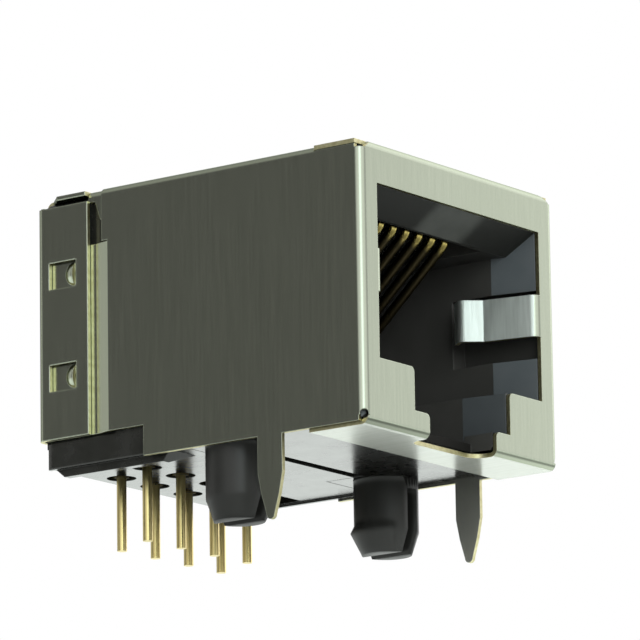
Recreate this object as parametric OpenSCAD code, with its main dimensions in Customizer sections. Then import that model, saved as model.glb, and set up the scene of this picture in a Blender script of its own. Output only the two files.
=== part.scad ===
// Shielded modular jack for an eight-contact plug: right-angle, through-hole, latch side down.
// The origin lies on the board plane, midway between the two locating pegs.
// X runs across the jack, Y from the plug opening towards the rear, Z up from the board.

/* [Shield] */
// Width over the side panels
shield_w = 15.24; // [15.1:0.02:17]
// Height of the top panel above the board
shield_h = 13.35; // [12.9:0.05:14.5]
// Height of the shield's underside above the board
shield_lift = 0.15; // [0.05:0.01:0.3]
// Front plate's outer face ahead of the pegs' centre line
front_reach = 8.6; // [8.4:0.1:8.9]
// Rear cover's outer face behind the pegs' centre line
rear_reach = 10.35; // [10:0.05:12]
// Thickness of the sheet
sheet = 0.2; // [0.16:0.01:0.22]
// Inside radius of the front shield's folds
fold_in = 0.16; // [0.03:0.01:0.25]
// Clearance between the sheet and what it wraps
sheet_gap = 0.03; // [0.02:0.01:0.06]
// Gap at the seams of the folded sheet
seam_gap = 0.04; // [0.02:0.01:0.08]
// Bottom edge of the side panels above the board
panel_bottom = 0.3; // [0.2:0.01:0.45]
// Length of the flap that the front plate turns over the top
top_flap_len = 2.63; // [2:0.01:3.2]
// Length of the flap that the front plate turns under the body
bottom_flap_len = 3.3; // [2.4:0.05:3.9]
// Length that the top flap's fold is cut short at each corner
corner_cut = 0.95; // [0.5:0.05:1.4]
// Radius of the relief holes at the front plate's lower corners
relief_r = 0.2; // [0.1:0.02:0.26]

/* [Solder tabs] */
// Centre of the left tab ahead of the pegs' centre line
tab_ahead = 3.22; // [2.6:0.02:3.8]
// Centre of the right tab ahead of the pegs' centre line
right_tab_ahead = 3.52; // [2.6:0.02:3.8]
// Width of a tab at its root
tab_w = 1.4; // [1:0.02:1.8]
// Width of a tab at its tip
tab_tip_w = 0.44; // [0.3:0.02:0.7]
// Reach of the tabs below the board plane
tab_reach = 3.58; // [3.2:0.01:4.5]
// Length of the parallel part of a tab below the board plane
tab_straight = 1.45; // [0.5:0.05:2.2]

/* [Rear cover] */
// Length of the cover's side flanges
flange_len = 3.07; // [2.7:0.01:3.3]
// Inside radius of the cover's folds
cover_fold_in = 0.17; // [0.05:0.01:0.25]
// Bottom edge of the cover and of the notch in the side panels, above the board
cover_bottom = 1.73; // [1.66:0.01:2.3]
// Gap between the top of a side flange and the shield's top
flange_drop = 0.51; // [0.4:0.01:0.8]
// Width cut off the rear corners of the cover's top flange
cover_corner = 0.85; // [0.5:0.05:1.2]
// Front end of the notch in a side panel, behind the pegs' centre line
notch_front = 4.07; // [3.4:0.01:5]
// Top of the side strips that run inside the flanges, below the shield's top
strip_top = 2.58; // [2.2:0.02:2.8]
// Start of the strips' step inwards, ahead of the flanges' front ends
joggle_ahead = 1.2; // [0.9:0.02:1.4]
// Length of that step
joggle_len = 0.85; // [0.4:0.05:1]
// Rear end of the side panels over the strips, ahead of the flanges' front ends
panel_ahead = 0.83; // [0.6:0.01:0.9]
// Height of the latch windows
window_h = 1.26; // [1.2:0.02:1.5]
// Length of the latch windows
window_len = 1.58; // [1.3:0.02:1.66]
// Rear end of the latch windows ahead of the cover's outer face
window_rear = 0.77; // [0.5:0.01:0.9]
// Centre of the lower window above the board
window_low = 4.65; // [3.5:0.05:5.6]
// Centre of the upper window below the shield's top
window_high = 3.82; // [3.6:0.02:4.7]
// Radius of a latch bump's outline
bump_r = 0.55; // [0.4:0.01:0.56]
// Height of a latch bump over its strip
bump_h = 0.22; // [0.12:0.01:0.26]
// Clearance between a window's front end and its latch bump
bump_clear = 0.22; // [0.05:0.01:0.4]

/* [Plug opening] */
// Width of the opening in the front plate
opening_w = 12.84; // [12.5:0.02:12.9]
// Top of the opening below the shield's top
opening_top = 1.92; // [1.8:0.01:2.2]
// Sill of the opening above the board
opening_sill = 3.31; // [2.8:0.01:3.5]
// Width of the latch channel below the sill
channel_w = 7.54; // [7:0.02:7.9]
// Floor of the latch channel's mouth above the board
channel_sill = 1.3; // [1.1:0.05:1.5]
// Width of the slot for the latch at the bottom of the front plate
slot_w = 5.26; // [4.8:0.02:5.8]
// Length of the slot's cut in the bottom flap, from the front face
slot_cut = 1.27; // [1:0.01:1.4]
// Radius at the rear corners of that cut
slot_corner = 0.7; // [0.3:0.05:0.7]
// Radius on the corners of the stepped opening
corner_r = 0.25; // [0.1:0.01:0.4]

/* [Plug cavity] */
// Width of the cavity behind its lead-in
cavity_w = 11.9; // [11.7:0.02:12.2]
// Ceiling of the cavity below the shield's top
cavity_top = 2.93; // [2.8:0.01:3.1]
// Depth of the cavity behind the pegs' centre line
cavity_depth = 2.9; // [2.7:0.1:3.1]
// Depth of the lead-in on the side walls
lead_in = 2.2; // [1.5:0.1:2.6]
// Depth of the lead-in on the ceiling
lead_in_top = 1.45; // [1:0.05:1.6]
// Inset of the latch channel's walls behind their lead-in
channel_inset = 0.37; // [0.1:0.01:0.5]
// Thickness of the shoulders that hold the plug's latch
shoulder = 1.6; // [1.5:0.1:2]
// Depth of the latch channel behind the front plate's outer face
channel_depth = 8; // [7:0.1:8.1]
// Floor left below the latch channel
channel_floor = 0.4; // [0.3:0.05:0.6]
// Thickness of the cavity's rear wall
rear_wall = 0.7; // [0.6:0.05:0.8]

/* [Ground fingers] */
// Height of a finger's middle over the middle of the opening
finger_mid = 0.03; // [-0.22:0.01:0.38]
// Height of a finger
finger_h = 2; // [1.4:0.1:2.4]
// Inside radius of a finger's fold
finger_fold_in = 0.2; // [0.1:0.02:0.26]
// Slant of a finger towards the plug, in degrees
finger_slant = 12; // [8:1:14]
// Length of a finger's straight run
finger_run = 2.4; // [2:0.1:2.6]
// Turn of the finger's rear end towards the plug, in degrees
finger_turn = 28; // [20:1:32]
// Length of the turned part
finger_kink = 0.9; // [0.5:0.05:1]
// Length of the leg that returns towards the wall
finger_leg = 0.5; // [0.3:0.05:0.7]
// Height of the pocket below a finger
pocket_below = 1; // [0.5:0.05:1.3]
// Height of the pocket above a finger
pocket_above = 0.25; // [0.1:0.05:0.5]
// Length of the pocket behind the front plate's outer face
pocket_len = 4.7; // [4.5:0.1:5.4]
// Width left between a pocket and the moulding's side
pocket_wall = 0.49; // [0.4:0.01:0.6]

/* [Mouldings] */
// Height of the mouldings' underside above the board
standoff = 0.49; // [0.43:0.01:0.55]
// Top of the tray under the contacts, above the board
tray_top = 1.61; // [1.4:0.01:1.64]
// Clearance between the two mouldings
mould_gap = 0.05; // [0.03:0.01:0.08]
// Place of the seam across the underside, behind the pegs' centre line
seam_y = 0.2; // [0:0.05:0.4]
// Width of that seam
seam_w = 0.6; // [0.3:0.05:0.8]
// Inset of the tray's rear face from the cover's outer face
tray_rear_inset = 0.22; // [0.2:0.01:0.6]
// Rounding of the tray's rear corners
tray_round = 0.5; // [0.2:0.05:0.8]
// Depth of the tray's rim below the mouldings' underside
tray_rim = 0.1; // [0.02:0.01:0.2]
// Chamfer along the tray's lower side edges
tray_chamfer = 0.05; // [0.02:0.01:0.2]
// Bevel along the tray's lower rear edge
tray_bevel = 0.2; // [0.1:0.01:0.3]
// Inset of the seat rails from the tray's sides
rail_inset = 0.25; // [0.1:0.01:0.5]
// Width of a seat rail's flat
rail_w = 0.4; // [0.3:0.05:0.75]
// Width of the slope on the inner side of a rail
rail_slope = 1.55; // [0.5:0.05:1.7]
// Front end of the left rail's flat behind the pegs' centre line
rail_front = 3.3; // [2.6:0.05:4.2]
// Front end of the short right rail's flat behind the pegs' centre line
right_rail_front = 7.75; // [7.7:0.05:8.5]
// Length of the slope at a rail's front end
rail_ramp = 0.4; // [0.02:0.01:0.4]
// Inset of a rail's rear end from the cover's outer face
rail_rear_inset = 0.63; // [0.5:0.01:1.4]
// Length of the slope at a rail's rear end
rail_end = 0.6; // [0.2:0.05:1]
// Front edge of the hollow in the tray's underside, ahead of the right rail's flat
hollow_ahead = 1.88; // [1.7:0.01:2.1]
// Length of that hollow
hollow_len = 1.4; // [0.8:0.05:1.45]
// Width of that hollow
hollow_w = 1.7; // [1:0.05:1.9]
// Width left between that hollow and the tray's side
hollow_wall = 0.45; // [0.3:0.01:0.6]
// Depth of that hollow
hollow_depth = 0.5; // [0.2:0.05:0.7]

/* [Locating pegs] */
// Distance between the pegs
peg_pitch = 11.43; // [11.3:0.01:11.46]
// Diameter of a peg
peg_d = 3.08; // [2.9:0.02:3.26]
// Reach of the pegs below the board plane
peg_reach = 3.05; // [2.8:0.05:3.3]
// Width of the slot that splits a peg
peg_slot = 0.7; // [0.4:0.05:0.9]
// Depth of the taper at a peg's tip
peg_chamfer = 0.35; // [0.1:0.05:0.4]
// Length of that taper
peg_taper = 1.05; // [0.5:0.05:1.3]
// Height of the barb on a peg's inner side
barb_h = 0.18; // [0.08:0.01:0.3]
// Depth of the barb's ledge below the board plane
barb_ledge = 1.65; // [1.5:0.05:2]
// Angle that the barb covers, in degrees
barb_angle = 100; // [50:5:120]
// Rear edge of a peg's foot behind the pegs' centre line
foot_rear = 2.05; // [1.9:0.05:2.4]
// Inner edge of a peg's foot from the middle of the jack
foot_in = 3.85; // [3.4:0.05:3.95]

/* [Contacts] */
// Diameter of the contact wire
wire_d = 0.46; // [0.4:0.01:0.48]
// Pitch of the contacts in the plug cavity
contact_pitch = 1.02; // [1:0.01:1.04]
// Pitch of the tails across the jack, one row staggered on the other
tail_pitch = 1.27; // [1.24:0.01:1.29]
// Front row of tails behind the pegs' centre line
tail_row_front = 6.35; // [6.3:0.05:6.6]
// Distance between the two rows of tails
tail_row_gap = 2.54; // [2.4:0.02:2.6]
// Reach of the tails below the board plane
tail_reach = 2.99; // [2.6:0.01:3.6]
// Width of the square collar that holds a tail in the tray
collar_w = 0.54; // [0.49:0.01:0.6]
// Length of that collar
collar_len = 0.8; // [0.4:0.05:1]
// Diameter of the recess around a tail
recess_d = 1.4; // [1:0.05:1.6]
// Depth of the recess around a tail
recess_depth = 0.25; // [0.15:0.01:0.4]
// Height of the wires' run over the cavity's ceiling
run_over = 1.33; // [1.3:0.01:1.4]
// Bend radius of the wires over the tails
elbow_r = 0.7; // [0.5:0.05:0.75]
// Bend radius of the wires' fan-out
fan_r = 0.6; // [0.4:0.05:0.7]
// Bend radius of the wires round the tongue's front edge
nose_r = 0.6; // [0.58:0.01:0.64]
// Middle of that bend behind the front plate's outer face
nose_depth = 4; // [3.8:0.05:4.3]
// Fall of the free wires below the level, in degrees
wire_fall = 42; // [38:1:44]
// Length of a free wire behind its bend
wire_free = 7.3; // [6.8:0.1:7.5]
// Clearance around a wire in its groove or hole
wire_gap = 0.05; // [0.03:0.01:0.06]
// Thickness of the tongue that the wires wrap
tongue_t = 0.62; // [0.5:0.01:0.66]
// Half width of the tongue
tongue_half = 4.3; // [4.2:0.05:4.6]
// Thickness of the ribs that space the wires' free ends
comb_rib = 0.35; // [0.25:0.01:0.4]
// Front end of those ribs behind the pegs' centre line
comb_front = -0.2; // [-0.5:0.05:0.3]
// Lower end of those ribs below the cavity's ceiling
comb_low = 5.87; // [5.5:0.01:6.3]
// Height of those ribs
comb_h = 2.2; // [1.6:0.1:2.6]

/* [Hidden] */
$fn = 48;
contact_count = 8;
// Overrun of the cuts past the faces that they open
over = 1;
// Outside radii of the folds
fold_r = sheet + fold_in;
cover_fold_r = sheet + cover_fold_in;
half_w = shield_w / 2;
front_y = -front_reach;
top_flap_rear = front_y + top_flap_len;
bottom_flap_rear = front_y + bottom_flap_len;
// Front ends of the cover's flanges, and the rear end of the top behind them
flange_front = rear_reach - flange_len;
top_rear = flange_front + 0.12;
// Step of the side strips into the jack, which leaves room for the cover's flanges
strip_face = half_w - sheet - sheet_gap;
strip_z = shield_h - strip_top;
joggle_y = flange_front - joggle_ahead;
panel_rear = flange_front - panel_ahead;
strip_rear = rear_reach - cover_fold_r - 0.1;
bump_y = rear_reach - window_rear - window_len + bump_clear;
bump_sphere = (bump_r * bump_r + bump_h * bump_h) / (2 * bump_h);
window_z = [window_low, shield_h - window_high];
// Heights of the opening and of the fingers in it
opening_z = shield_h - opening_top;
finger_z = (opening_sill + opening_z) / 2 + finger_mid;
// Faces of the mouldings inside the shield
body_half = half_w - sheet - sheet_gap;
body_front = front_y + sheet + sheet_gap;
body_top = shield_h - sheet - sheet_gap;
block_half = strip_face - sheet - sheet_gap;
block_rear = rear_reach - sheet - sheet_gap;
ceiling_z = shield_h - cavity_top;
cavity_rear = cavity_depth;
housing_rear = cavity_rear + rear_wall;
block_front = housing_rear + mould_gap;
tray_rear = rear_reach - tray_rear_inset;
peg_x = peg_pitch / 2;
peg_r = peg_d / 2;
wire_r = wire_d / 2;
wire_way_r = wire_r + wire_gap;
// A wire swells a little where it is bent, and its straight runs reach into the bends
bend_wire_r = 1.02 * wire_r;
wire_lap = 0.03;
run_z = ceiling_z + run_over;
tongue_mid = run_z - nose_r;
nose_y = front_y + nose_depth;
fan_front = block_front + wire_way_r;
fan_rear = tail_row_front - elbow_r - wire_r;
collar_z = standoff + 0.02;
collar_r = collar_w / sqrt(2);

module block(x, y, z) {
    translate([x[0], y[0], z[0]])
        cube([x[1] - x[0], y[1] - y[0], z[1] - z[0]]);
}

// Extrudes a profile drawn in Y and Z along X
module along_x(x) {
    translate([x[0], 0, 0])
        rotate([90, 0, 90])
            linear_extrude(x[1] - x[0])
                children();
}

// Extrudes a profile drawn in X and Z along Y
module along_y(y) {
    translate([0, y[1], 0])
        rotate([90, 0, 0])
            linear_extrude(y[1] - y[0])
                children();
}

// Extrudes a profile drawn in X and Y along Z
module along_z(z) {
    translate([0, 0, z[0]])
        linear_extrude(z[1] - z[0])
            children();
}

module both_sides() {
    children();
    mirror([1, 0, 0])
        children();
}

// Section of a fold: a quarter ring in the first quadrant, centred on the fold's axis
module fold_section(outer) {
    intersection() {
        difference() {
            circle(outer);
            circle(outer - sheet);
        }
        square(outer);
    }
}

// Points reached from a start by steps of [length, heading], headings turning from Y towards X
function walk(at, steps, i = 0) =
    i == len(steps) ? [at]
    : concat([at], walk(at + steps[i][0] * [sin(steps[i][1]), cos(steps[i][1])], steps, i + 1));

// Offset of each point of such a walk to one side of it
function beside(points, steps, side) = [
    for (i = [0 : len(points) - 1])
        let (before = steps[max(i - 1, 0)][1])
        let (after = steps[min(i, len(steps) - 1)][1])
        let (middle = (before + after) / 2)
        points[i] + side * sheet / 2 / cos((after - before) / 2) * [-cos(middle), sin(middle)]
];

// Section of a sheet that follows a walk
module ribbon(at, steps) {
    points = walk(at, steps);
    right = beside(points, steps, -1);
    polygon(concat(beside(points, steps, 1), [for (i = [len(right) - 1 : -1 : 0]) right[i]]));
}

// Rounds the two corners where a step of the given half width opens out at the height z
module round_step(half, z) {
    for (side = [-1, 1])
        translate([side * half, z])
            mirror([side < 0 ? 1 : 0, 0])
                difference() {
                    translate([0, -corner_r])
                        square(corner_r);
                    translate([corner_r, -corner_r])
                        circle(corner_r);
                }
}

// The stepped outline of the plug opening
module opening_outline() {
    translate([-opening_w / 2, opening_sill])
        square([opening_w, opening_z - opening_sill]);
    translate([-channel_w / 2, channel_sill])
        square([channel_w, opening_sill - channel_sill]);
    translate([-slot_w / 2, -over])
        square([slot_w, channel_sill + over]);
    round_step(channel_w / 2, opening_sill);
    round_step(slot_w / 2, channel_sill);
}

module front_plate() {
    along_y([front_y, front_y + sheet])
        difference() {
            translate([-half_w + fold_r, shield_lift + fold_r])
                square([shield_w - 2 * fold_r, shield_h - shield_lift - 2 * fold_r]);
            opening_outline();
        }
}

// Flap over the top, folded back from the front plate
module top_flap() {
    intersection() {
        along_x([-half_w, half_w])
            translate([front_y + fold_r, shield_h - fold_r])
                mirror([1, 0])
                    fold_section(fold_r);
        along_y([front_y - over, front_y + fold_r])
            polygon([[fold_r - half_w, shield_h - fold_r], [corner_cut - half_w, shield_h],
                     [half_w - corner_cut, shield_h], [half_w - fold_r, shield_h - fold_r]]);
    }
    block([-half_w, half_w], [front_y + fold_r, top_flap_rear], [shield_h - sheet, shield_h]);
}

// Flap under the body, cut away for the plug's latch
module bottom_flap() {
    half = half_w - sheet - seam_gap / 2;
    slot = slot_w / 2;
    difference() {
        union() {
            along_x([-half, half])
                translate([front_y + fold_r, shield_lift + fold_r])
                    rotate(180)
                        fold_section(fold_r);
            block([-half, half], [front_y + fold_r, bottom_flap_rear], [shield_lift, shield_lift + sheet]);
        }
        along_z([-over, shield_lift + fold_r + sheet]) {
            translate([-slot, front_y - over])
                square([slot_w, over + slot_cut - slot_corner]);
            translate([-slot + slot_corner, front_y])
                square([slot_w - 2 * slot_corner, slot_cut]);
            for (side = [-1, 1])
                translate([side * (slot - slot_corner), front_y + slot_cut - slot_corner])
                    circle(slot_corner);
        }
    }
}

// Solder tab in the plane of the left panel
module solder_tab(ahead) {
    tip_r = tab_tip_w / 2;
    tip_z = -tab_reach + tip_r;
    waist_z = (tip_z - tab_straight) / 2;
    translate([0, -ahead, 0])
        along_x([-half_w, -half_w + sheet]) {
            polygon([[-tab_w / 2, panel_bottom + sheet], [-tab_w / 2, -tab_straight],
                     [-0.36 * tab_w, waist_z], [-tip_r, tip_z], [tip_r, tip_z], [0.36 * tab_w, waist_z],
                     [tab_w / 2, -tab_straight], [tab_w / 2, panel_bottom + sheet]]);
            translate([0, tip_z])
                circle(tip_r);
        }
}

// Side panel on the left, with its fold to the front plate
module side_panel() {
    under_flap = shield_h - sheet - seam_gap;
    along_x([-half_w, -half_w + sheet])
        polygon([[front_y + fold_r, panel_bottom], [notch_front, panel_bottom],
                 [notch_front, cover_bottom], [joggle_y, cover_bottom], [joggle_y, strip_z + seam_gap],
                 [panel_rear, strip_z + seam_gap], [panel_rear, shield_h - fold_r],
                 [top_flap_rear + seam_gap, shield_h - fold_r], [top_flap_rear + seam_gap, under_flap],
                 [front_y + fold_r, under_flap]]);
    along_z([shield_lift + fold_r + seam_gap, shield_h - fold_r - seam_gap])
        translate([-half_w + fold_r, front_y + fold_r])
            rotate(180)
                fold_section(fold_r);
}

// Strip that steps inwards behind a side panel and carries two latch bumps
module side_strip() {
    step_in = half_w - strip_face;
    lead = 2 * sheet;
    difference() {
        union() {
            along_z([cover_bottom, strip_z])
                ribbon([sheet / 2 - half_w, joggle_y - lead],
                       [[lead, 0], [norm([step_in, joggle_len]), atan2(step_in, joggle_len)],
                        [strip_rear - joggle_y - joggle_len, 0]]);
            for (z = window_z)
                bump_dome(z, bump_sphere);
        }
        for (z = window_z)
            bump_dome(z, bump_sphere - sheet);
    }
}

// Half of a shallow dome, sheared off at its front and rounded down towards the rear
module bump_dome(z, r) {
    intersection() {
        translate([-strip_face - bump_h + bump_sphere, bump_y, z])
            sphere(r);
        block([-half_w, -strip_face + sheet], [bump_y, bump_y + 2 * r], [z - 2 * r, z + 2 * r]);
    }
}

// Half of the top, folded over from a side panel, with a gusset at its rear end
module top_panel() {
    gusset_low = strip_z + 1.15;
    top_front = top_flap_rear + seam_gap;
    along_y([top_front, panel_rear])
        translate([-half_w + fold_r, shield_h - fold_r])
            mirror([1, 0])
                fold_section(fold_r);
    block([-half_w + fold_r, -seam_gap / 2], [top_front, panel_rear], [shield_h - sheet, shield_h]);
    along_y([panel_rear, top_rear])
        translate([-strip_face + fold_r, shield_h - fold_r])
            mirror([1, 0])
                fold_section(fold_r);
    block([-strip_face + fold_r, -seam_gap / 2], [panel_rear, top_rear], [shield_h - sheet, shield_h]);
    along_x([-strip_face, -strip_face + sheet])
        polygon([[panel_rear, shield_h - fold_r], [panel_rear, gusset_low], [panel_rear + 0.25, gusset_low],
                 [top_rear - 0.4, shield_h - fold_r - sheet], [top_rear, shield_h - fold_r - sheet],
                 [top_rear, shield_h - fold_r]]);
}

// Spring finger folded in from the opening's edge, on the left
module ground_finger() {
    low = finger_z - finger_h / 2;
    turn = finger_slant + finger_turn;
    middle_r = finger_fold_in + sheet / 2;
    bends = 10;
    bend = (90 - finger_slant) / bends;
    chord = 2 * middle_r * sin(bend / 2);
    fold = [for (i = [0.5 : bends]) [chord, 90 - i * bend]];
    crest = [for (i = [-2 : 2]) [sheet / 3, -turn * i / 3]];
    along_z([low, low + finger_h])
        ribbon([-opening_w / 2 - sheet / 2, front_y + sheet / 2],
               concat([[sheet / 2, 90]], fold, [[finger_run, finger_slant]], [[finger_kink, turn]],
                      crest, [[finger_leg, -turn]]));
}

module front_shield() {
    color([0.62, 0.62, 0.57])
        difference() {
            union() {
                front_plate();
                top_flap();
                bottom_flap();
                both_sides() {
                    side_panel();
                    side_strip();
                    top_panel();
                    ground_finger();
                }
                solder_tab(tab_ahead);
                mirror([1, 0, 0])
                    solder_tab(right_tab_ahead);
            }
            both_sides()
                translate([-half_w, front_y, shield_lift + fold_r + relief_r / 2])
                    rotate([0, 90, 45])
                        cylinder(r = relief_r, h = 4 * fold_r, center = true);
        }
}

// Rear cover of the shield, snapped over the side strips
module rear_shield() {
    flange_top = shield_h - flange_drop;
    top_half = half_w - cover_fold_r;
    top_edge = half_w - seam_gap;
    cut_half = half_w - cover_corner;
    fold_y = rear_reach - cover_fold_r;
    color([0.58, 0.58, 0.54]) {
        block([-top_half, top_half], [rear_reach - sheet, rear_reach],
              [cover_bottom, shield_h - cover_fold_r]);
        both_sides() {
            along_z([cover_bottom, flange_top])
                translate([-top_half, fold_y])
                    mirror([1, 0])
                        fold_section(cover_fold_r);
            along_x([-half_w, -half_w + sheet])
                difference() {
                    translate([flange_front, cover_bottom])
                        square([flange_len - cover_fold_r, flange_top - cover_bottom]);
                    for (z = window_z)
                        translate([rear_reach - window_rear - window_len, z - window_h / 2])
                            square([window_len, window_h]);
                }
        }
        along_x([-cut_half, cut_half])
            translate([fold_y, shield_h - cover_fold_r])
                fold_section(cover_fold_r);
        along_z([shield_h - sheet, shield_h])
            polygon([[-top_edge, top_rear + seam_gap], [top_edge, top_rear + seam_gap],
                     [top_edge, fold_y - cover_corner], [cut_half, fold_y], [-cut_half, fold_y],
                     [-top_edge, fold_y - cover_corner]]);
    }
}

// Space for the plug, wider at its mouth
module plug_space() {
    mouth = opening_w / 2;
    inner = cavity_w / 2;
    intersection() {
        along_z([0, body_top])
            polygon([[-mouth, body_front - over], [mouth, body_front - over], [mouth, body_front],
                     [inner, body_front + lead_in], [inner, cavity_rear], [-inner, cavity_rear],
                     [-inner, body_front + lead_in], [-mouth, body_front]]);
        along_x([-half_w, half_w])
            polygon([[body_front - over, opening_sill], [cavity_rear, opening_sill],
                     [cavity_rear, ceiling_z], [body_front + lead_in_top, ceiling_z],
                     [body_front, opening_z], [body_front - over, opening_z]]);
    }
}

// Space for the plug's latch, behind two shoulders
module latch_space() {
    mouth = channel_w / 2;
    inner = mouth - channel_inset;
    slot = slot_w / 2;
    rear = front_y + channel_depth;
    floor_z = standoff + channel_floor;
    along_z([channel_sill, opening_sill + sheet])
        polygon([[-mouth, body_front - over], [mouth, body_front - over], [mouth, body_front],
                 [inner, body_front + lead_in], [inner, rear], [-inner, rear],
                 [-inner, body_front + lead_in], [-mouth, body_front]]);
    block([-inner, inner], [body_front + shoulder, rear], [floor_z, channel_sill + sheet]);
    block([-slot, slot], [body_front - over, body_front + shoulder + over], [floor_z, channel_sill + sheet]);
    block([-slot, slot], [body_front - over, front_y + slot_cut + sheet], [-over, channel_sill]);
}

// Pocket for a ground finger in the left wall
module finger_pocket() {
    low = finger_z - finger_h / 2 - pocket_below;
    high = finger_z + finger_h / 2 + pocket_above;
    block([pocket_wall - body_half, 0], [body_front - over, front_y + pocket_len], [low, high]);
}

// Split peg with a barb towards the middle of the jack, on the left
module peg() {
    barb_r = peg_r + barb_h;
    translate([-peg_x, 0, 0])
        difference() {
            union() {
                translate([0, 0, peg_taper - peg_reach])
                    cylinder(r = peg_r, h = peg_reach - peg_taper + standoff + sheet);
                translate([0, 0, -peg_reach])
                    cylinder(r1 = peg_r - peg_chamfer, r2 = peg_r, h = peg_taper);
                rotate([0, 0, -barb_angle / 2])
                    rotate_extrude(angle = barb_angle)
                        polygon([[peg_slot, -barb_ledge], [peg_r, -barb_ledge],
                                 [barb_r, -barb_ledge - 2 * barb_h], [peg_r - peg_chamfer, -peg_reach],
                                 [peg_slot, -peg_reach]]);
            }
            block([-peg_slot / 2, peg_slot / 2], [-2 * peg_r, 2 * peg_r], [-peg_reach - over, 0]);
        }
}

// Ribs on the cavity's rear wall that keep the free wires apart
module comb() {
    for (i = [0 : contact_count])
        translate([contact_x(i + 0.5) - comb_rib / 2, comb_front, ceiling_z - comb_low])
            cube([comb_rib, cavity_rear - comb_front + rear_wall / 2, comb_h]);
}

// Section of a moulding across the jack, bevelled under the folds of the shield's top
module body_section(half, low) {
    polygon([[-half, low], [half, low], [half, body_top - fold_in], [half - fold_in, body_top],
             [fold_in - half, body_top], [-half, body_top - fold_in]]);
}

// The housing before its cuts, bevelled inside the front plate's folds
module housing_blank() {
    bevel_y = body_front + fold_in;
    bevel_x = body_half - fold_in;
    intersection() {
        along_y([body_front, housing_rear])
            body_section(body_half, standoff);
        along_x([-half_w, half_w])
            polygon([[bevel_y, standoff], [housing_rear, standoff], [housing_rear, body_top],
                     [bevel_y, body_top], [body_front, body_top - fold_in],
                     [body_front, standoff + fold_in]]);
        along_z([0, shield_h])
            polygon([[-bevel_x, body_front], [bevel_x, body_front], [body_half, bevel_y],
                     [body_half, housing_rear], [-body_half, housing_rear], [-body_half, bevel_y]]);
    }
}

module housing() {
    seam_front = seam_y - seam_w / 2;
    tray_space = tray_top + mould_gap;
    roof_half = tongue_half + mould_gap;
    color([0.13, 0.13, 0.13]) {
        difference() {
            union() {
                housing_blank();
                both_sides()
                    peg();
            }
            plug_space();
            latch_space();
            both_sides()
                finger_pocket();
            block([-roof_half, roof_half], [body_front + lead_in_top + sheet, housing_rear + over],
                  [ceiling_z - sheet, run_z + 2 * wire_r]);
            block([-foot_in, foot_in], [seam_front, housing_rear + over], [-over, tray_space]);
            block([-half_w, half_w], [foot_rear, housing_rear + over], [-over, tray_space]);
        }
        comb();
    }
}

function tail_x(i) = (i - (contact_count + 1) / 2) * tail_pitch;
function contact_x(i) = (i - (contact_count + 1) / 2) * contact_pitch;
function tail_y(i) = tail_row_front + (i % 2 == 0 ? tail_row_gap : 0);

// Outline of the tray's main part in plan, with rounded rear corners
module tray_plan() {
    front = foot_rear + mould_gap;
    translate([-body_half, front])
        square([2 * body_half, tray_rear - tray_round - front]);
    translate([tray_round - body_half, front])
        square([2 * (body_half - tray_round), tray_rear - front]);
    for (side = [-1, 1])
        translate([side * (body_half - tray_round), tray_rear - tray_round])
            circle(tray_round);
}

// Tray under the rear half, with a tongue that reaches between the pegs' feet
module tray() {
    inner = foot_in - mould_gap;
    lip = standoff - tray_rim;
    rail = body_half - rail_inset;
    intersection() {
        along_z([0, tray_top])
            tray_plan();
        along_x([-half_w, half_w])
            polygon([[0, 0], [0, tray_top], [tray_rear, tray_top], [tray_rear, lip + tray_bevel],
                     [tray_rear - tray_bevel, lip], [tray_rear - tray_bevel, 0]]);
        along_y([0, tray_rear])
            polygon([[-body_half, tray_top], [body_half, tray_top], [body_half, lip + tray_chamfer],
                     [body_half - tray_chamfer, lip], [rail, lip], [rail, standoff], [-rail, standoff],
                     [-rail, lip], [tray_chamfer - body_half, lip], [-body_half, lip + tray_chamfer]]);
    }
    block([-inner, inner], [seam_y + seam_w / 2, foot_rear + sheet], [standoff, tray_top]);
}

// Rail that stands on the board, on the left, sloped at its inner side and at both ends
module seat_rail(front) {
    outer = body_half - rail_inset;
    inner = outer - rail_w;
    rear = rear_reach - rail_rear_inset;
    intersection() {
        along_y([0, rear_reach])
            polygon([[-outer, tray_top], [-outer, 0], [-inner, 0], [rail_slope - inner, standoff],
                     [rail_slope - inner, tray_top]]);
        along_x([-half_w, 0])
            polygon([[front, 0], [rear - rail_end, 0], [rear, standoff], [rear, tray_top],
                     [front - rail_ramp, tray_top], [front - rail_ramp, standoff]]);
    }
}

// Tongue that the wires wrap over the plug cavity, with ribs between them
module tongue() {
    rib = contact_pitch - wire_d - 2 * wire_gap;
    along_x([-tongue_half, tongue_half]) {
        translate([nose_y, tongue_mid - tongue_t / 2])
            square([block_front + sheet - nose_y, tongue_t]);
        translate([nose_y, tongue_mid])
            circle(tongue_t / 2);
    }
    for (i = [0 : contact_count])
        translate([contact_x(i + 0.5) - rib / 2, nose_y + tongue_t / 2, tongue_mid])
            cube([rib, block_front - nose_y - tongue_t, nose_r]);
}

// Groove, hole and recess for one wire
module wire_way(i) {
    tail_rear = tail_y(i) + wire_way_r;
    across = [-wire_way_r, wire_way_r];
    translate([tail_x(i), 0, 0]) {
        block(across, [fan_rear - sheet, tail_rear], [run_z - wire_way_r, body_top + over]);
        block(across, [tail_y(i) - elbow_r - wire_gap, tail_rear],
              [run_z - elbow_r - wire_gap, body_top + over]);
        translate([0, tail_y(i), 0]) {
            cylinder(r = wire_way_r, h = run_z - elbow_r);
            cylinder(r = collar_r + wire_gap / 2, h = collar_z + collar_len + wire_gap);
            translate([0, 0, -over])
                cylinder(d = recess_d, h = over + standoff + recess_depth);
        }
    }
}

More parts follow.
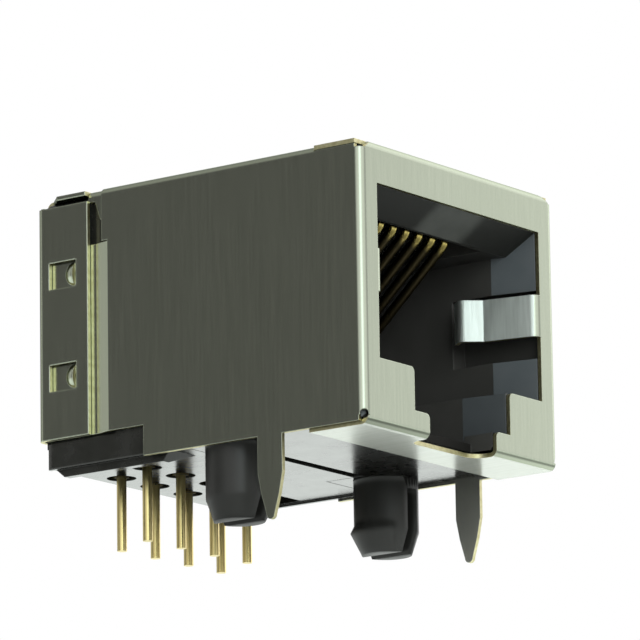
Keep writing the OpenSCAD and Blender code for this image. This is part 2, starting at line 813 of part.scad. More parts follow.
module contact_insert() {
    bay_half = tail_x(contact_count) + wire_r + 4 * wire_gap;
    hollow_out = body_half - hollow_wall;
    hollow_y = right_rail_front - hollow_ahead;
    color([0.13, 0.13, 0.13])
        difference() {
            union() {
                tray();
                seat_rail(rail_front);
                mirror([1, 0, 0])
                    seat_rail(right_rail_front);
                along_y([block_front, joggle_y - sheet])
                    body_section(body_half, tray_top - sheet);
                intersection() {
                    along_y([block_front, block_rear])
                        body_section(block_half, tray_top - sheet);
                    along_x([-block_half, block_half])
                        polygon([[block_front, 0], [block_rear, 0], [block_rear, body_top - cover_fold_in],
                                 [block_rear - cover_fold_in, body_top], [block_front, body_top]]);
                }
                tongue();
            }
            block([-bay_half, bay_half], [block_front - over / 10, fan_rear],
                  [run_z - wire_way_r, body_top + over]);
            for (i = [1 : contact_count])
                wire_way(i);
            block([hollow_out - hollow_w, hollow_out], [hollow_y, hollow_y + hollow_len],
                  [-over, standoff + hollow_depth]);
            block([-half_w, half_w], [tray_rear, rear_reach], [0, tray_top]);
        }
}

// Wire drawn along Z through a list of steps: [length, radius] runs straight on, [length] is
// a square collar, and [bend radius, angle, side] bends towards the side, an angle round Z from X
module wire(path, i = 0) {
    if (i < len(path)) {
        size = path[i][0];
        angle = path[i][1];
        if (len(path[i]) == 1) {
            translate([-collar_w / 2, -collar_w / 2, 0])
                cube([collar_w, collar_w, size]);
            translate([0, 0, size])
                wire(path, i + 1);
        } else if (len(path[i]) == 2) {
            before = i == 0 ? 0 : wire_lap;
            after = i == len(path) - 1 ? 0 : wire_lap;
            translate([0, 0, -before])
                cylinder(r = path[i][1], h = before + size + after);
            translate([0, 0, size])
                wire(path, i + 1);
        } else {
            rotate([0, 0, path[i][2]]) {
                translate([size, 0, 0])
                    rotate([90, 0, 0])
                        rotate([0, 0, 180 - angle])
                            rotate_extrude(angle = angle)
                                translate([size, 0])
                                    circle(bend_wire_r);
                translate([size * (1 - cos(angle)), 0, size * sin(angle)])
                    rotate([0, angle, 0])
                        rotate([0, 0, -path[i][2]])
                            wire(path, i + 1);
            }
        }
    }
}

// One contact: tail, collar, elbow, fan-out to the finer pitch, bend round the tongue, free end
module contact(i) {
    shift = contact_x(i) - tail_x(i);
    side = shift > 0 ? 0 : 180;
    fan_len = fan_rear - fan_front;
    lean = 2 * fan_r - abs(shift);
    fan_angle = atan2(fan_len, lean) - acos(2 * fan_r / norm([lean, fan_len]));
    fan_line = (fan_len - 2 * fan_r * sin(fan_angle)) / cos(fan_angle);
    color([0.83, 0.69, 0.3])
        translate([tail_x(i), tail_y(i), -tail_reach])
            wire([[tail_reach + collar_z, wire_r],
                  [collar_len],
                  [run_z - elbow_r - collar_z - collar_len, wire_r],
                  [elbow_r, 90, -90],
                  [tail_y(i) - elbow_r - fan_rear, wire_r],
                  [fan_r, fan_angle, side],
                  [fan_line, wire_r],
                  [fan_r, fan_angle, 180 - side],
                  [fan_front - nose_y, wire_r],
                  [nose_r, 180 - wire_fall, -90],
                  [wire_free, wire_r]]);
}

module contact_1() { contact(1); }
module contact_2() { contact(2); }
module contact_3() { contact(3); }
module contact_4() { contact(4); }
module contact_5() { contact(5); }
module contact_6() { contact(6); }
module contact_7() { contact(7); }
module contact_8() { contact(8); }

housing();
contact_insert();
front_shield();
rear_shield();
contact_1();
contact_2();
contact_3();
contact_4();
contact_5();
contact_6();
contact_7();
contact_8();
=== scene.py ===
"""Looks, light and camera for the shielded modular jack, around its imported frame."""

import math

import bpy
from mathutils import Matrix, Vector
from mathutils.bvhtree import BVHTree


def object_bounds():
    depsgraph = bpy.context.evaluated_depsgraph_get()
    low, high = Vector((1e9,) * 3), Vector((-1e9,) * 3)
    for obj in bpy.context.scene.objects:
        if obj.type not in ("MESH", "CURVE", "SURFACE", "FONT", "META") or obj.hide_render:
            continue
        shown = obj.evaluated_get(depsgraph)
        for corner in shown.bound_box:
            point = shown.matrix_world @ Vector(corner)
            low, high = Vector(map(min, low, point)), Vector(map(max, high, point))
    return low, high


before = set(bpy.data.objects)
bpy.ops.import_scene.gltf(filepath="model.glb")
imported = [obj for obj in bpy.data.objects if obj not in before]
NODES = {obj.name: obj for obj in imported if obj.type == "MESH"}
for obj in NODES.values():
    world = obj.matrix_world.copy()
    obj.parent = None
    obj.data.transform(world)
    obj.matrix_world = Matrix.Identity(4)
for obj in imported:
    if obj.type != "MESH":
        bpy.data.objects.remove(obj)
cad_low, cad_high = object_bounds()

MM = 0.001
SCENE = bpy.context.scene
SHEETS = ("front_shield", "rear_shield")

# the frame's box, in mm: its front and rear ends along +Y, and half its width
FRONT = cad_low.y / MM
REAR = cad_high.y / MM
SIDE = cad_high.x / MM

# thickest a sheet is between its two skins, in mm: with more than this behind it, a face is a cut edge
SKIN_DEPTH = 0.27
# how far inside a face the ray that measures this starts, in mm
RAY_START = 0.001
# a face further out than this is on a side panel, in mm
PANEL_SIDE = SIDE - 0.62
# the stepped-in strips and their bumps are on the side panels behind this, in mm
STRIP_FRONT = REAR - 4.45
# the ground fingers lie within this half width, between these heights and behind this place, in mm
FINGER_SIDE = SIDE - 1.17
FINGER_LOW = 5.6
FINGER_HIGH = 9.2
FINGER_FRONT = FRONT + 0.15
# faces that look down and are lower than this are the part's underside, in mm
UNDERSIDE_TOP = 0.9
# the housing is pegs below this height, in mm
PEG_TOP = 0.3
# the sill's front face is below this height, in mm
SILL_TOP = 1.2
# the opening's sloping lead-in faces are ahead of this place and above this height, in mm
LEAD_IN_REAR = FRONT + 2.6
LEAD_IN_LOW = 1.0
# height of the step in the opening's sides: the latch's channel is below it, in mm
LATCH_TOP = 3.3
# where the paler patch of painted light over the opening starts, is full, is still full and ends, along +X
# in mm
PATCH = (-1.6, -0.8, 1.8, 2.8)
# the contacts are tails below the first height, with the collars' lower faces, which get painted shade,
# above the second, in mm
TAIL_TOP = 2.0
COLLAR_LOW = -0.5
# where the contacts' gold starts to fade into painted shade behind their bends, and where that painted
# shade is full, along +Y in mm
BEND_GOLD = FRONT + 3.3
BEND_SHADED = FRONT + 3.75
# least share of a face's normal along an axis: square to it, about square, mostly, halfway and barely
SQUARE = 0.95
ABOUT_SQUARE = 0.9
MOSTLY = 0.7
HALFWAY = 0.5
BARELY = 0.1

# the material slots of the sheets, the housing, the insert and the contacts, in order
PLATED, CUT, FINGER, FLAP, INNER = range(5)
BODY, PEG, SIDE_LEAD, TOP_LEAD, BODY_UNDERSIDE, SILL, LATCH_LEAD = range(7)
BLOCK, BLOCK_UNDERSIDE = range(2)
WIRE, TAIL, COLLAR = range(3)

# darker and paler colour of each finish
PLATED_TONES = ((0.562, 0.612, 0.492), (0.598, 0.648, 0.523))
# painted light: the flap's underside, paler than the plating it is part of; it is also less of a mirror
FLAP_LIT_TONES = ((0.74, 0.79, 0.71), (0.80, 0.85, 0.77))
# painted shade: the inside of the far panel and its tab, darker than the plating they are part of
INNER_SHADE_TONES = ((0.48, 0.50, 0.45), (0.54, 0.56, 0.50))
# painted light: the fingers, much paler than the plating they are cut from
FINGER_LIT_TONES = ((0.78, 0.86, 0.81), (0.90, 0.98, 0.93))
BRASS_TONES = ((0.64, 0.59, 0.32), (0.86, 0.82, 0.52))
HOUSING_TONES = ((0.035, 0.036, 0.033), (0.040, 0.041, 0.038))
# painted shade: the pegs, darker than the housing they are part of, as if in the dim light under the body
PEG_SHADE_TONES = ((0.020, 0.021, 0.019), (0.024, 0.025, 0.023))
# painted light: the lead-ins inside the opening, lighter than the housing where the slopes catch light
# through the opening
SIDE_LEAD_LIT_TONES = ((0.056, 0.068, 0.073), (0.066, 0.078, 0.083))
# painted shade and painted light: the lead-in over the opening, darker than the housing at its ends and
# pale in a middle patch
TOP_LEAD_SHADE_AND_LIGHT_TONES = ((0.011, 0.012, 0.010), (0.060, 0.066, 0.059))
LATCH_LEAD_LIT_TONES = ((0.037, 0.044, 0.047), (0.043, 0.051, 0.054))
# painted shade: the sill's front face, much darker than the housing plastic it is part of
SILL_SHADE_TONES = ((0.008, 0.008, 0.007), (0.010, 0.010, 0.009))
INSERT_TONES = ((0.016, 0.017, 0.014), (0.022, 0.023, 0.020))
BEND_TONES = ((0.86, 0.67, 0.20), (0.95, 0.77, 0.27))
# painted shade: the wires behind the bends, darkened as if in the cavity's shade
WIRE_SHADE_TONES = ((0.10, 0.08, 0.04), (0.14, 0.11, 0.055))
TAIL_TONES = ((0.82, 0.68, 0.29), (0.92, 0.78, 0.37))
# painted shade: the collars' lower faces, darkened as if shadowed in the tray's holes
COLLAR_SHADE_TONES = ((0.05, 0.04, 0.015), (0.09, 0.07, 0.03))
# the plated sheet's blotches and grain, how much of them shows, and the sheet's tint at a low angle
BLOTCH_TONE = (0.53, 0.575, 0.455)
BLOTCH_SHARE = 0.25
GRAIN_TONE = (0.52, 0.565, 0.455)
GRAIN_SHARE = 0.35
PLATED_TINT = (0.40, 0.42, 0.38)

# how fine each pattern is along X, Y and Z, in waves per metre
WALL_LINES = (9000.0, 9000.0, 350.0)
FLAT_LINES = (9000.0, 350.0, 9000.0)
FINGER_LINES = (7000.0, 7000.0, 500.0)
WIRE_LINES = (9000.0, 9000.0, 900.0)
BLOTCHES = (260.0, 260.0, 160.0)
PLATED_GRAIN = (14000.0,) * 3
MOULDING_GRAIN = (11000.0,) * 3
SCUFFS = (5000.0,) * 3
COLLAR_MOTTLE = (3000.0,) * 3
CLOUD = (900.0,) * 3
# the detail of a plain pattern and of a rich one
PLAIN = 2.0
RICH = 3.0
# the range that most of a pattern's values lie in, and the ranges used of the blotches and of the mottle
# in the painted light over the opening
PATTERN_RANGE = (0.3, 0.7)
BLOTCH_RANGE = (0.35, 0.7)
PATCH_MOTTLE_RANGE = (0.2, 0.6)
# the mottle leaves at least this much of the painted light over the opening
PATCH_MOTTLE_LEAST = 0.7
# upward share of a normal between which the walls' lines give way to those of the flats
FLAT_FROM = 0.6
FLAT_FULL = 0.8
# how deep the grain is, in mm
PLATED_RELIEF = 0.0004
MOULDING_RELIEF = 0.0006
# how far the edges look rounded, in mm
SHEET_ROUNDING = 0.05
COVER_ROUNDING = 0.11
CUT_ROUNDING = 0.02
MOULDING_ROUNDING = 0.06
PEG_ROUNDING = 0.5
ROUNDING_SAMPLES = 6

WHITE = (1.0, 1.0, 1.0)
# walls of the room that shiny surfaces see
DIM_WALL = (0.34, 0.34, 0.33)
OLIVE_WALL = (0.55, 0.55, 0.52)
DARK_SCREEN = (0.094, 0.090, 0.090)
WINDOW = (1.8, 2.0, 2.0)
# the room low down and high up: (azimuth from +X towards +Y in degrees, grey level or colour)
LOW_RING = (
    (0, 1.75), (38, 1.75), (52, 0.60), (60, DIM_WALL), (98, DIM_WALL), (106, OLIVE_WALL),
    (121, OLIVE_WALL), (129, DARK_SCREEN), (154, DARK_SCREEN), (162, 0.60), (185, 0.90), (206, 1.0),
    (216, WINDOW), (234, WINDOW), (246, 1.0), (285, 0.95), (297, 0.50), (307, 0.50), (316, 0.55),
    (322, 0.57), (331, 1.6), (340, 1.75), (360, 1.75))
HIGH_RING = (
    (0, 1.75), (30, 1.6), (50, 0.70), (70, 0.33), (110, (0.38, 0.38, 0.36)), (150, (0.34, 0.34, 0.32)),
    (175, 0.50), (200, 0.90), (300, 1.0), (330, 1.3), (360, 1.75))
FULL_TURN = 360.0
# elevations in degrees between which the low ring turns into the high one, and that into white overhead
HIGH_RISE = (22.0, 45.0)
OVERHEAD_RISE = (62.0, 80.0)
# the light that the room gives to surfaces that aren't shiny
ROOM_FILL = 0.55

# half the floor's width in mm, and its colour
FLOOR_HALF = 3000.0
FLOOR_COLOUR = (0.86, 0.86, 0.85)
# what shiny surfaces see in the floor: its colour, and (distance away from the camera in mm, level)
FLOOR_GLOW = (0.95, 1.0, 0.96)
FLOOR_WAY = (0.803, 0.596, 0.0)
FLOOR_LEVELS = ((-60, 0.8), (-16, 0.5), (-6, 0.6), (0, 0.9), (5, 1.15), (60, 1.15))
# how much of that is left in front of the opening: (distance along +Y in mm, share)
SHADE_WAY = (0.0, 1.0, 0.0)
FLOOR_SHADE = ((-60, 1.0), (-34, 0.9), (-24, 0.4), (-13.5, 0.35), (-11, 1.0), (60, 1.0))
# the distance that both lists reach, in mm
FLOOR_REACH = 60.0
# only rays that were mirrored fewer times than this see that glow
GLOW_DEPTH = 1.5

# the lamps: places and size in mm, power in watts
KEY_AT = (-150, -320, 110)
KEY_POWER = 1.5
FILL_AT = (320, -160, 180)
FILL_POWER = 0.7
LAMP_SIZE = 260

# the camera that was fitted to the photo: places in mm, angles in degrees, focal length in pixels
CAMERA_AT = (-225.776, -167.917, -55.118)
CAMERA_AZIMUTH = -53.445
CAMERA_ELEVATION = -12.521
CAMERA_ROLL = -0.887
FOCAL_PIXELS = 6154.4
PICTURE_PIXELS = 640
SENSOR = 36.0
CLIP_NEAR = 10.0
CLIP_FAR = 20000.0

# the mix node has sockets for each type of value: these are the ones for colours
MIX_INPUTS = (0, 6, 7)
MIX_OUTPUT = 2


def node(tree, kind, **values):
    made = tree.nodes.new(kind)
    for key, value in values.items():
        setattr(made, key, value)
    return made


def feed(tree, socket, value):
    """Sets a number or a colour on a socket, or links another node's output to it."""
    if isinstance(value, (int, float)):
        socket.default_value = value
    elif isinstance(value, tuple):
        socket.default_value = (*value, 1.0)
    else:
        tree.links.new(value, socket)


def feed_all(tree, made, values):
    for name, value in values.items():
        feed(tree, made.inputs[name], value)


def math_node(tree, operation, first, second=0.0):
    made = node(tree, "ShaderNodeMath", operation=operation)
    feed(tree, made.inputs[0], first)
    feed(tree, made.inputs[1], second)
    return made.outputs[0]


def map_range(tree, value, low, high, to_low=0.0, to_high=1.0, smooth=False):
    made = node(tree, "ShaderNodeMapRange", interpolation_type="SMOOTHSTEP" if smooth else "LINEAR")
    feed_all(tree, made, {"Value": value, "From Min": low, "From Max": high})
    feed_all(tree, made, {"To Min": to_low, "To Max": to_high})
    return made.outputs["Result"]


def mix_colour(tree, factor, first, second):
    made = node(tree, "ShaderNodeMix", data_type="RGBA")
    for index, value in zip(MIX_INPUTS, (factor, first, second)):
        feed(tree, made.inputs[index], value)
    return made.outputs[MIX_OUTPUT]


def mix_shader(tree, factor, first, second):
    made = node(tree, "ShaderNodeMixShader")
    for socket, value in zip(made.inputs, (factor, first, second)):
        feed(tree, socket, value)
    return made.outputs[0]


def ramp(tree, value, stops):
    """Colours by value: the stops are (value from 0 to 1, grey level or colour)."""
    made = node(tree, "ShaderNodeValToRGB")
    feed(tree, made.inputs["Fac"], value)
    steps = made.color_ramp.elements
    while len(steps) < len(stops):
        steps.new(0.5)
    for step, (at, tone) in zip(steps, stops):
        colour = tone if isinstance(tone, tuple) else (tone, tone, tone)
        step.position = at
        step.color = (*colour, 1.0)
    return made.outputs["Color"]


def split(tree, vector):
    """The X, Y and Z of a vector."""
    made = node(tree, "ShaderNodeSeparateXYZ")
    feed(tree, made.inputs[0], vector)
    return made.outputs


def pattern(tree, spot, fineness, detail=PLAIN):
    """Noise of its own fineness along X, Y and Z."""
    placed = node(tree, "ShaderNodeMapping")
    feed(tree, placed.inputs["Vector"], spot)
    placed.inputs["Scale"].default_value = fineness
    made = node(tree, "ShaderNodeTexNoise")
    feed_all(tree, made, {"Vector": placed.outputs["Vector"], "Scale": 1.0, "Detail": detail})
    return made.outputs["Fac"]


def spread(tree, value, low=0.0, high=1.0):
    """Most of a pattern's values, spread from low to high."""
    return map_range(tree, value, *PATTERN_RANGE, low, high)


def soft_edges(tree, rounding):
    """A normal that makes the edges look rounded."""
    made = node(tree, "ShaderNodeBevel", samples=ROUNDING_SAMPLES)
    made.inputs["Radius"].default_value = rounding * MM
    return made.outputs["Normal"]


def bumped(tree, height, normal, relief):
    """A fine relief on a surface."""
    made = node(tree, "ShaderNodeBump")
    feed_all(tree, made, {"Distance": relief * MM, "Height": height, "Normal": normal})
    return made.outputs["Normal"]


def start_material(name):
    """A new material, its node tree and shader, and the place on the piece that its patterns follow."""
    made = bpy.data.materials.new(name)
    made.use_nodes = True
    tree = made.node_tree
    spot = node(tree, "ShaderNodeTexCoord").outputs["Object"]
    return made, tree, tree.nodes["Principled BSDF"], spot


def rolled_lines(tree, spot):
    """The rolling lines run up the walls, and front to back over the top and the underside."""
    walls = pattern(tree, spot, WALL_LINES)
    flats = pattern(tree, spot, FLAT_LINES)
    facing = split(tree, node(tree, "ShaderNodeNewGeometry").outputs["True Normal"])
    flat = map_range(tree, math_node(tree, "ABSOLUTE", facing["Z"]), FLAT_FROM, FLAT_FULL)
    return mix_colour(tree, flat, walls, flats)


def plated_sheet(name, rounding):
    """The skins of both shields: satin plating with rolling lines, faint blotches and a fine grain."""
    made, tree, shader, spot = start_material(name)
    lines = rolled_lines(tree, spot)
    blotches = pattern(tree, spot, BLOTCHES, RICH)
    grain = pattern(tree, spot, PLATED_GRAIN)
    tone = mix_colour(tree, spread(tree, lines), *PLATED_TONES)
    tone = mix_colour(tree, map_range(tree, blotches, *BLOTCH_RANGE, 0.0, BLOTCH_SHARE), tone, BLOTCH_TONE)
    tone = mix_colour(tree, spread(tree, grain, 0.0, GRAIN_SHARE), tone, GRAIN_TONE)
    rough = math_node(tree, "ADD", spread(tree, lines, 0.20, 0.22), spread(tree, grain, 0.0, 0.03))
    feed_all(tree, shader, {
        "Base Color": tone,
        "Metallic": 1.0,
        "Roughness": rough,
        "Specular Tint": PLATED_TINT,
        "Normal": bumped(tree, grain, soft_edges(tree, rounding), PLATED_RELIEF)})
    return made


def satin_sheet(name, tones, metal):
    """The front flap's underside, paler than the plating as painted light, and the inside of the far
    panel, darker as painted shade: both less of a mirror than the rest.
    """
    made, tree, shader, spot = start_material(name)
    lines = rolled_lines(tree, spot)
    feed_all(tree, shader, {
        "Base Color": mix_colour(tree, spread(tree, lines), *tones),
        "Metallic": metal,
        "Roughness": spread(tree, lines, 0.20, 0.24),
        "Normal": soft_edges(tree, SHEET_ROUNDING)})
    return made


def brushed_finger():
    """The ground fingers: the same sheet, dulled by its bending, with clear brush lines, and paler than
    the plating as painted light.
    """
    made, tree, shader, spot = start_material("brushed_finger")
    lines = pattern(tree, spot, FINGER_LINES, RICH)
    feed_all(tree, shader, {
        "Base Color": mix_colour(tree, spread(tree, lines), *FINGER_LIT_TONES),
        "Metallic": 0.93,
        "Roughness": spread(tree, lines, 0.42, 0.56),
        "Normal": soft_edges(tree, SHEET_ROUNDING)})
    return made


def bare_brass():
    """The cut edges of both shields, where the plating ends."""
    made, tree, shader, spot = start_material("bare_brass_edge")
    scuffs = pattern(tree, spot, SCUFFS, RICH)
    feed_all(tree, shader, {
        "Base Color": mix_colour(tree, spread(tree, scuffs), *BRASS_TONES),
        "Metallic": 1.0,
        "Roughness": 0.42,
        "Normal": soft_edges(tree, CUT_ROUNDING)})
    return made


def moulding(name, tones, rough, shine, rounding=MOULDING_ROUNDING, coat=0.0):
    """A black plastic with a faint cloudiness and grain. Its shine is the refractive index."""
    made, tree, shader, spot = start_material(name)
    cloud = pattern(tree, spot, CLOUD, RICH)
    grain = pattern(tree, spot, MOULDING_GRAIN)
    feed_all(tree, shader, {
        "Base Color": mix_colour(tree, spread(tree, cloud), *tones),
        "Roughness": spread(tree, cloud, *rough),
        "IOR": shine,
        "Coat Weight": coat,
        "Coat IOR": shine,
        "Coat Roughness": rough[0],
        "Normal": bumped(tree, grain, soft_edges(tree, rounding), MOULDING_RELIEF)})
    return made


def lit_top_lead():
    """The lead-in over the opening: black and darker than the housing as painted shade, with a paler patch
    of painted light in the middle.
    """
    made, tree, shader, spot = start_material("lit_top_lead")
    across = split(tree, spot)["X"]
    left = map_range(tree, across, PATCH[0] * MM, PATCH[1] * MM, smooth=True)
    right = map_range(tree, across, PATCH[2] * MM, PATCH[3] * MM, 1.0, 0.0, smooth=True)
    patch_mottle = map_range(tree, pattern(tree, spot, CLOUD, RICH), *PATCH_MOTTLE_RANGE, PATCH_MOTTLE_LEAST, 1.0)
    patch = math_node(tree, "MULTIPLY", math_node(tree, "MULTIPLY", left, right), patch_mottle)
    feed_all(tree, shader, {
        "Base Color": mix_colour(tree, patch, *TOP_LEAD_SHADE_AND_LIGHT_TONES),
        "Roughness": 0.5,
        "Normal": soft_edges(tree, MOULDING_ROUNDING)})
    return made


def drawn_lines(tree, spot):
    """The lines that drawing leaves on the wire, longest up and down."""
    return spread(tree, pattern(tree, spot, WIRE_LINES, RICH))


def contact_wire():
    """Gold on the bend that meets the plug; further back, painted shade darkens the wire, and it is
    rougher there.
    """
    made, tree, shader, spot = start_material("contact_wire")
    shade_share = map_range(tree, split(tree, spot)["Y"], BEND_GOLD * MM, BEND_SHADED * MM, smooth=True)
    lines = drawn_lines(tree, spot)
    bend = mix_colour(tree, lines, *BEND_TONES)
    wire = mix_colour(tree, lines, *WIRE_SHADE_TONES)
    feed_all(tree, shader, {
        "Base Color": mix_colour(tree, shade_share, bend, wire),
        "Metallic": 1.0,
        "Roughness": map_range(tree, shade_share, 0.0, 1.0, 0.16, 0.38)})
    return made


def gold_tail():
    made, tree, shader, spot = start_material("gold_tail")
    lines = drawn_lines(tree, spot)
    feed_all(tree, shader, {
        "Base Color": mix_colour(tree, lines, *TAIL_TONES),
        "Metallic": 1.0,
        "Roughness": map_range(tree, lines, 0.0, 1.0, 0.27, 0.33)})
    return made


def shaded_collar_gold():
    """The lower faces of the collars, deep in the tray's holes: painted shade, far darker than the gold.
    """
    made, tree, shader, spot = start_material("shaded_collar_gold")
    collar_mottle = pattern(tree, spot, COLLAR_MOTTLE, RICH)
    feed_all(tree, shader, {
        "Base Color": mix_colour(tree, spread(tree, collar_mottle), *COLLAR_SHADE_TONES),
        "Roughness": 0.75})
    return made


def cut_edges(mesh):
    """The faces with more than a sheet's thickness behind them, apart from the slopes of the strips."""
    corners = [corner.co for corner in mesh.vertices]
    tree = BVHTree.FromPolygons(corners, [face.vertices for face in mesh.polygons])
    found = set()
    for face in mesh.polygons:
        centre = face.center / MM
        if abs(face.normal.x) > HALFWAY and abs(centre.x) > PANEL_SIDE and centre.y > STRIP_FRONT:
            continue
        inward = -face.normal
        depth = tree.ray_cast(face.center + inward * RAY_START * MM, inward)[3]
        if depth is None or depth > SKIN_DEPTH * MM:
            found.add(face.index)
    return found


def is_underside(face):
    return face.normal.z < -ABOUT_SQUARE and face.center.z < UNDERSIDE_TOP * MM


def front_slot(face):
    """The slot of a face of the front shield that isn't a cut edge."""
    centre = face.center / MM
    if abs(centre.x) < FINGER_SIDE and FINGER_LOW < centre.z < FINGER_HIGH and centre.y > FINGER_FRONT:
        return FINGER
    if is_underside(face):
        return FLAP
    return INNER if face.normal.x < -ABOUT_SQUARE and centre.x > PANEL_SIDE else PLATED


def cover_slot(face):
    """The rear cover is plated all over, apart from its cut edges."""
    return PLATED


def housing_slot(face):
    """The slot of a face of the housing: the lead-ins are the slopes just inside the opening."""
    centre = face.center / MM
    if centre.z < PEG_TOP:
        return PEG
    if is_underside(face):
        return BODY_UNDERSIDE
    if face.normal.y < -SQUARE and centre.z < SILL_TOP:
        return SILL
    sloping = -SQUARE < face.normal.y < -BARELY
    if not sloping or centre.y > LEAD_IN_REAR or centre.z < LEAD_IN_LOW:
        return BODY
    if abs(face.normal.x) < abs(face.normal.z):
        return TOP_LEAD
    return SIDE_LEAD if centre.z > LATCH_TOP else LATCH_LEAD


def insert_slot(face):
    return BLOCK_UNDERSIDE if is_underside(face) else BLOCK


def contact_slot(face):
    """The slot of a face of a contact: of its collar, only the lower side gets the painted shade."""
    centre = face.center / MM
    if centre.z > TAIL_TOP:
        return WIRE
    return COLLAR if face.normal.z < -MOSTLY and centre.z > COLLAR_LOW else TAIL


def front_looks(brass):
    return (plated_sheet("plated_sheet", SHEET_ROUNDING),
            brass,
            brushed_finger(),
            # the flap's underside: half a mirror, and paler as painted light
            satin_sheet("satin_lit_flap", FLAP_LIT_TONES, metal=0.5),
            # the inside of the far panel and its tab: darker as painted shade
            satin_sheet("satin_shaded_tab", INNER_SHADE_TONES, metal=0.75))


def cover_looks(brass):
    return (plated_sheet("plated_cover", COVER_ROUNDING), brass)


def housing_looks(underside):
    return (moulding("black_housing", HOUSING_TONES, rough=(0.40, 0.48), shine=1.5),
            # the pegs: the housing's plastic, darkened as painted shade
            moulding("shaded_black_peg", PEG_SHADE_TONES, rough=(0.34, 0.42), shine=1.45, rounding=PEG_ROUNDING),
            # the lead-ins: rougher than the housing, and lighter as painted light
            moulding("lit_side_lead", SIDE_LEAD_LIT_TONES, rough=(0.45, 0.55), shine=1.5),
            lit_top_lead(),
            underside,
            # the sill: the housing's plastic, matt, and darkened as painted shade
            moulding("matt_shaded_sill", SILL_SHADE_TONES, rough=(0.6, 0.7), shine=1.2),
            moulding("lit_latch_lead", LATCH_LEAD_LIT_TONES, rough=(0.45, 0.55), shine=1.5))


def insert_looks(underside):
    return (moulding("black_insert", INSERT_TONES, rough=(0.22, 0.30), shine=1.6), underside)


def contact_looks():
    return (contact_wire(), gold_tail(), shaded_collar_gold())


def dress():
    """Gives each piece its materials, and each of its faces one of them."""
    brass = bare_brass()
    underside = moulding("polished_underside", INSERT_TONES, rough=(0.22, 0.30), shine=1.7, coat=1.0)
    contact = (contact_looks(), contact_slot)
    others = {
        "front_shield": (front_looks(brass), front_slot),
        "rear_shield": (cover_looks(brass), cover_slot),
        "housing": (housing_looks(underside), housing_slot),
        "contact_insert": (insert_looks(underside), insert_slot)}
    for name, piece in NODES.items():
        looks, slot_of = others.get(name, contact)
        mesh = piece.data
        mesh.materials.clear()
        for look in looks:
            mesh.materials.append(look)
        edges = cut_edges(mesh) if name in SHEETS else ()
        for face in mesh.polygons:
            face.material_index = CUT if face.index in edges else slot_of(face)


def empty_tree(owner):
    owner.use_nodes = True
    owner.node_tree.nodes.clear()
    return owner.node_tree


def light_path(tree, name):
    return node(tree, "ShaderNodeLightPath").outputs[name]


def shiny_rays(tree):
    """1 for what a shiny or a clear surface sees, else 0."""
    shiny = light_path(tree, "Is Glossy Ray")
    clear = light_path(tree, "Is Transmission Ray")
    return math_node(tree, "MAXIMUM", shiny, clear)


def background(tree, colour, strength=1.0):
    made = node(tree, "ShaderNodeBackground")
    feed_all(tree, made, {"Color": colour, "Strength": strength})
    return made.outputs[0]


def ring(tree, turn, stops):
    return ramp(tree, turn, [(azimuth / FULL_TURN, tone) for azimuth, tone in stops])


def rise(tree, upward, elevations):
    """From 0 to 1 between two elevations, by the upward share of a direction."""
    low, high = (math.sin(math.radians(elevation)) for elevation in elevations)
    return map_range(tree, upward, low, high, smooth=True)


def make_world():
    """White to the camera. Shiny surfaces see a room, bright on the right, dark to the left and behind."""
    world = bpy.data.worlds.new("studio")
    SCENE.world = world
    tree = empty_tree(world)
    way = split(tree, node(tree, "ShaderNodeTexCoord").outputs["Generated"])
    turns = math_node(tree, "DIVIDE", math_node(tree, "ARCTAN2", way["Y"], way["X"]), math.tau)
    turn = math_node(tree, "FRACT", math_node(tree, "ADD", turns, 1.0))
    low = ring(tree, turn, LOW_RING)
    high = ring(tree, turn, HIGH_RING)
    room = mix_colour(tree, rise(tree, way["Z"], HIGH_RISE), low, high)
    room = mix_colour(tree, rise(tree, way["Z"], OVERHEAD_RISE), room, WHITE)
    fill = background(tree, WHITE, ROOM_FILL)
    unseen = mix_shader(tree, shiny_rays(tree), fill, background(tree, room))
    light = mix_shader(tree, light_path(tree, "Is Camera Ray"), unseen, background(tree, WHITE))
    feed(tree, node(tree, "ShaderNodeOutputWorld").inputs["Surface"], light)


def along_floor(tree, way, levels):
    """A level by the distance from the origin along one direction on the floor."""
    along = node(tree, "ShaderNodeVectorMath", operation="DOT_PRODUCT")
    feed(tree, along.inputs[0], node(tree, "ShaderNodeNewGeometry").outputs["Position"])
    along.inputs[1].default_value = Vector(way) / MM
    share = map_range(tree, along.outputs["Value"], -FLOOR_REACH, FLOOR_REACH)
    return ramp(tree, share, [((at + FLOOR_REACH) / (2 * FLOOR_REACH), level) for at, level in levels])


def pale_floor():
    """Pale, with a set glow where shiny surfaces see it. Its underside is clear, as the photo looks up."""
    made = bpy.data.materials.new("pale_floor")
    tree = empty_tree(made)
    pale = node(tree, "ShaderNodeBsdfDiffuse")
    feed(tree, pale.inputs["Color"], FLOOR_COLOUR)
    level = math_node(tree, "MULTIPLY", along_floor(tree, FLOOR_WAY, FLOOR_LEVELS),
                      along_floor(tree, SHADE_WAY, FLOOR_SHADE))
    first = math_node(tree, "LESS_THAN", light_path(tree, "Glossy Depth"), GLOW_DEPTH)
    glow = node(tree, "ShaderNodeEmission")
    feed_all(tree, glow, {"Color": FLOOR_GLOW, "Strength": math_node(tree, "MULTIPLY", level, first)})
    top = mix_shader(tree, shiny_rays(tree), pale.outputs[0], glow.outputs[0])
    clear = node(tree, "ShaderNodeBsdfTransparent").outputs[0]
    below = node(tree, "ShaderNodeNewGeometry").outputs["Backfacing"]
    both = mix_shader(tree, below, top, clear)
    feed(tree, node(tree, "ShaderNodeOutputMaterial").inputs["Surface"], both)
    return made


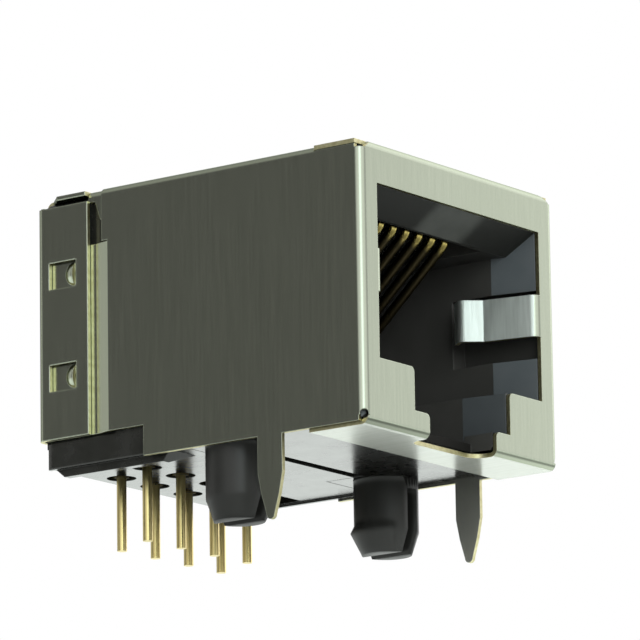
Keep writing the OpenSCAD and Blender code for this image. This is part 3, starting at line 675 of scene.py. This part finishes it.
def make_floor():
    """A floor under the lowest tips."""
    half = FLOOR_HALF * MM
    low = cad_low.z
    corners = [(-half, -half, low), (half, -half, low), (half, half, low), (-half, half, low)]
    mesh = bpy.data.meshes.new("floor")
    mesh.from_pydata(corners, [], [(0, 1, 2, 3)])
    mesh.materials.append(pale_floor())
    floor = bpy.data.objects.new("floor", mesh)
    SCENE.collection.objects.link(floor)


def make_lamp(name, place, power):
    """A soft square lamp that points at the middle of the part."""
    data = bpy.data.lights.new(name, "AREA")
    data.shape = "SQUARE"
    data.size = LAMP_SIZE * MM
    data.energy = power
    lamp = bpy.data.objects.new(name, data)
    SCENE.collection.objects.link(lamp)
    middle = (cad_low + cad_high) / 2
    lamp.location = Vector(place) * MM
    lamp.rotation_mode = "QUATERNION"
    lamp.rotation_quaternion = (middle - lamp.location).to_track_quat("-Z", "Y")
    lamp.visible_glossy = False


def make_camera():
    data = bpy.data.cameras.new("camera")
    data.sensor_width = SENSOR
    data.lens = FOCAL_PIXELS / PICTURE_PIXELS * SENSOR
    data.clip_start = CLIP_NEAR * MM
    data.clip_end = CLIP_FAR * MM
    camera = bpy.data.objects.new("camera", data)
    SCENE.collection.objects.link(camera)
    azimuth = math.radians(CAMERA_AZIMUTH)
    elevation = math.radians(CAMERA_ELEVATION)
    roll = math.radians(CAMERA_ROLL)
    back = Vector((math.sin(azimuth) * math.cos(elevation), -math.cos(azimuth) * math.cos(elevation),
                   math.sin(elevation)))
    level = Vector((math.cos(azimuth), math.sin(azimuth), 0.0))
    raised = back.cross(level)
    right = math.cos(roll) * level + math.sin(roll) * raised
    up = math.cos(roll) * raised - math.sin(roll) * level
    turn = Matrix((right, up, back)).transposed()
    camera.matrix_world = Matrix.Translation(Vector(CAMERA_AT) * MM) @ turn.to_4x4()
    SCENE.camera = camera


dress()
make_world()
make_floor()
make_lamp("key", KEY_AT, KEY_POWER)
make_lamp("fill", FILL_AT, FILL_POWER)
make_camera()
SCENE.view_settings.view_transform = "Standard"
